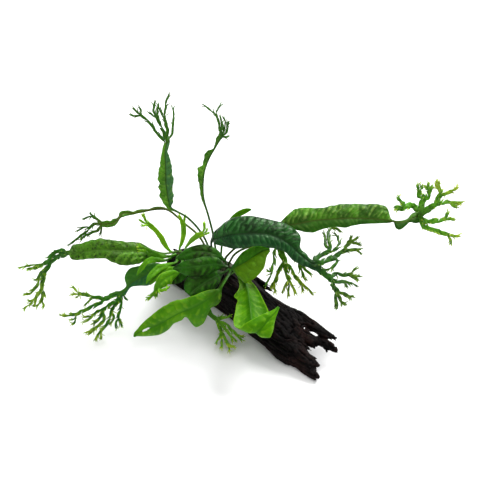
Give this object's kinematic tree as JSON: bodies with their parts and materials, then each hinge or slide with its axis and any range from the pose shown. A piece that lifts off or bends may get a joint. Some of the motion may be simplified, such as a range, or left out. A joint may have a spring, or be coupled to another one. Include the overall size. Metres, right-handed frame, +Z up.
{
  "type": "java fern on driftwood",
  "caption": "Crested water fern with forked frond tips, growing from a creeping rhizome on a dark splintered driftwood log.",
  "frame": {"origin": "middle of the log's flat underside, on the surface that it rests on", "axes": "+Z up; +X along the plant's longest spread, towards the long frond; -Y towards the front, where the log's splintered end points to the right"},
  "size_m": [0.2887, 0.1082, 0.1512],
  "materials": {
    "driftwood": "rough, water-darkened wood with open grain",
    "rhizome": "dull green-brown stem with dark scales",
    "dark_leaf": "satin dark green leaf",
    "green_leaf": "satin mid-green leaf",
    "bright_leaf": "satin bright green young leaf"
  },
  "bodies": {
    "root": {"driftwood_trunk": "driftwood", "driftwood_upper_prong": "driftwood", "driftwood_middle_prong": "driftwood", "driftwood_lower_prong": "driftwood", "rhizome": "rhizome", "frond_back_left": "green_leaf", "frond_back_right": "green_leaf", "frond_thin_left": "green_leaf", "frond_broad_left": "green_leaf", "frond_dark_left": "dark_leaf", "frond_young_1": "bright_leaf", "frond_young_2": "bright_leaf", "frond_young_3": "bright_leaf", "frond_young_4": "bright_leaf", "frond_young_5": "bright_leaf", "frond_young_6": "bright_leaf", "frond_young_7": "bright_leaf", "frond_young_8": "bright_leaf", "frond_centre_back": "dark_leaf", "frond_centre_upper": "dark_leaf", "frond_centre_lower": "dark_leaf", "frond_centre_left": "dark_leaf", "frond_front_left": "bright_leaf", "frond_front_right": "bright_leaf", "frond_folded": "bright_leaf", "frond_arching": "dark_leaf", "frond_long_right": "green_leaf", "frond_bright_top": "bright_leaf", "frond_hanging": "green_leaf", "frond_small_front": "green_leaf"}
  },
  "joints": []
}
